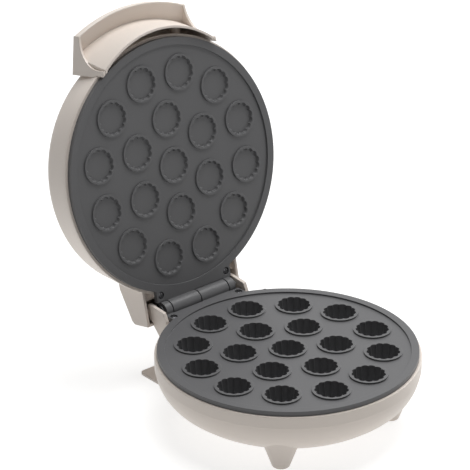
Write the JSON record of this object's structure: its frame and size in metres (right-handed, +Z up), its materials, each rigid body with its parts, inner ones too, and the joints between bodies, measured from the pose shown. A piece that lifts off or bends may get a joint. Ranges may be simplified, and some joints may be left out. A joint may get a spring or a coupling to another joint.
{
  "type": "mini cannele maker",
  "caption": "Round electric mini cannele maker, lid open: fluted cups in the lower cast plate, shallow caps in the hinged upper one.",
  "frame": {"origin": "on the floor, under the middle of the open cooker's outline; the middle of the lower plate is 53.4 mm in front of it", "axes": "+Z up, -Y towards the front where the handle closes, +X to the right seen from the front; +Y runs from front to hinge"},
  "size_m": [0.2394, 0.3462, 0.3292],
  "materials": {
    "cream_moulding": "fine matt moulded texture, warm cream",
    "nonstick_cast": "matt dark non-stick coat on cast aluminium",
    "bright_steel": "ground",
    "spring_steel": "phosphated",
    "heater_tube": "heat-darkened tube",
    "plated_sheet": "zinc plated",
    "aluminium_sheet": "mill finish",
    "dark_screws": "blackened",
    "plated_screws": "zinc plated",
    "pad_rubber": "matt",
    "white_block": "matt",
    "gland_rubber": "matt",
    "thermostat_body": "moulded resin",
    "fuse_sleeve": "woven glass sleeve",
    "lamp_holder_black": "matt",
    "lamp_glass": "clear",
    "red_lens": "translucent red",
    "green_lens": "translucent green"
  },
  "bodies": {
    "base": {"base_housing": "cream_moulding", "rear_stand": "cream_moulding", "lower_plate": "nonstick_cast", "hinge_pin": "bright_steel", "pin_clips": "spring_steel", "lower_element": "heater_tube", "lower_element_straps": "plated_sheet", "lower_shield": "aluminium_sheet", "lower_tab_screws": "dark_screws", "rear_stand_screws": "dark_screws", "lower_strap_screws": "plated_screws", "foot_pads": "pad_rubber", "terminal_block": "white_block", "cord_gland": "gland_rubber"},
    "lid": {"lid_housing": "cream_moulding", "lid_handle": "cream_moulding", "handle_screws": "plated_screws", "upper_plate": "nonstick_cast", "upper_tab_screws": "dark_screws", "upper_element": "heater_tube", "upper_element_straps": "plated_sheet", "upper_strap_screws": "plated_screws", "upper_shield": "aluminium_sheet", "thermostat": "thermostat_body", "thermal_fuse": "fuse_sleeve", "fuse_clip": "plated_sheet", "lamp_holder": "lamp_holder_black", "lamp_holder_screws": "plated_screws", "lamps": "lamp_glass", "power_lens": "red_lens", "ready_lens": "green_lens"}
  },
  "joints": [
    {"name": "lid_hinge", "type": "hinge", "parent": "base", "child": "lid", "pos_m": [0, 0.0746, 0.068], "axis": [1, 0, 0], "range_deg": [0, 103]}
  ]
}
